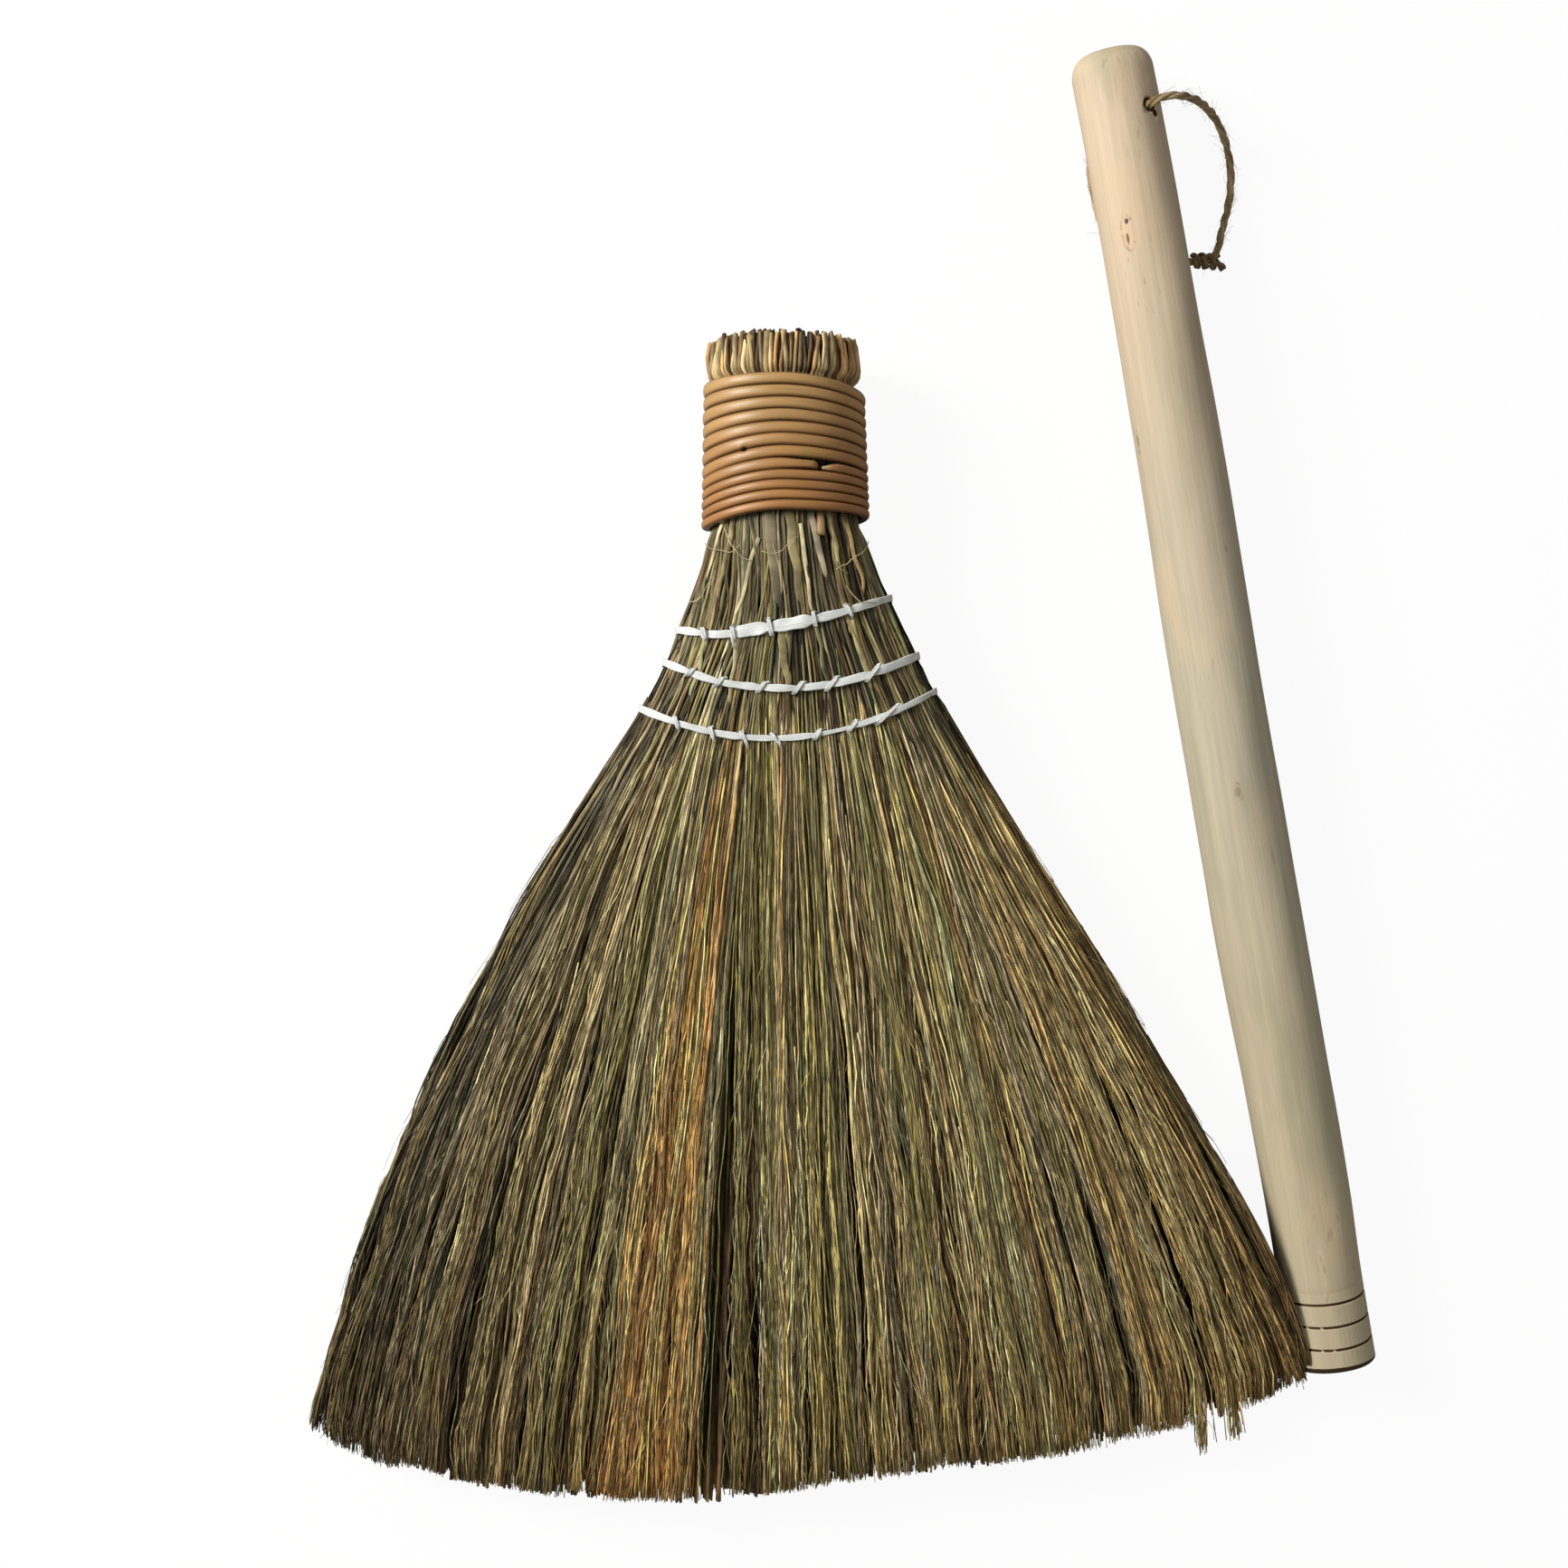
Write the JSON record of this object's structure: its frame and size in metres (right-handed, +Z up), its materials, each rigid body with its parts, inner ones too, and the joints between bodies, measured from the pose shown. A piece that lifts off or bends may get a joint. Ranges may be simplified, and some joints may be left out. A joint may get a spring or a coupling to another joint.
{
  "type": "straw broom",
  "caption": "Flat fan-shaped straw hand broom with a rattan-bound neck, rows of sewn strip and a wooden plug-in stick with a hanging cord, laid out apart.",
  "frame": {"origin": "on the surface that the broom lies on, under the middle of the head and the stick taken together, without the cord", "axes": "+Z up from that surface, +Y from the bristle tips towards the bound neck, +X to the right seen from above with the neck away from the viewer"},
  "size_m": [0.3184, 0.4348, 0.0375],
  "materials": {
    "straw": "dry grass stalks, matt, tan with green and brown stalks",
    "bristle": "fine dry grass bristles, matt, olive brown with golden streaks",
    "rattan": "peeled cane with a soft gloss, honey brown",
    "strip": "flat off-white binding strip, satin",
    "handle_wood": "debarked pale stick, raw, with knots and turned grooves",
    "twine": "twisted jute twine, hairy"
  },
  "bodies": {
    "head": {"neck_bunch_01": "straw", "neck_bunch_02": "straw", "neck_bunch_03": "straw", "neck_bunch_04": "straw", "neck_bunch_05": "straw", "neck_bunch_06": "straw", "neck_bunch_07": "straw", "neck_bunch_08": "straw", "neck_bunch_09": "straw", "neck_bunch_10": "straw", "neck_bunch_11": "straw", "neck_bunch_12": "straw", "shoulder_bunch_left_outer": "straw", "shoulder_bunch_left_inner": "straw", "shoulder_bunch_right_inner": "straw", "shoulder_bunch_right_outer": "straw", "bristle_bunch_left_outer": "bristle", "bristle_bunch_left_inner": "bristle", "bristle_bunch_right_inner": "bristle", "bristle_bunch_right_outer": "bristle", "rattan_winding_upper": "rattan", "rattan_winding_lower": "rattan", "stitch_strip_1": "strip", "stitch_strip_2": "strip", "stitch_strip_3": "strip", "stitch_lace_1": "strip", "stitch_lace_2": "strip", "stitch_lace_3": "strip"},
    "stick": {"handle": "handle_wood", "hanging_cord": "twine", "cord_knot": "twine"}
  },
  "joints": [
    {"name": "stick_slide", "type": "slide", "parent": "head", "child": "stick", "axis": [-0.1721, 0.985, 0.0113], "range_m": [0, 0.31]}
  ]
}
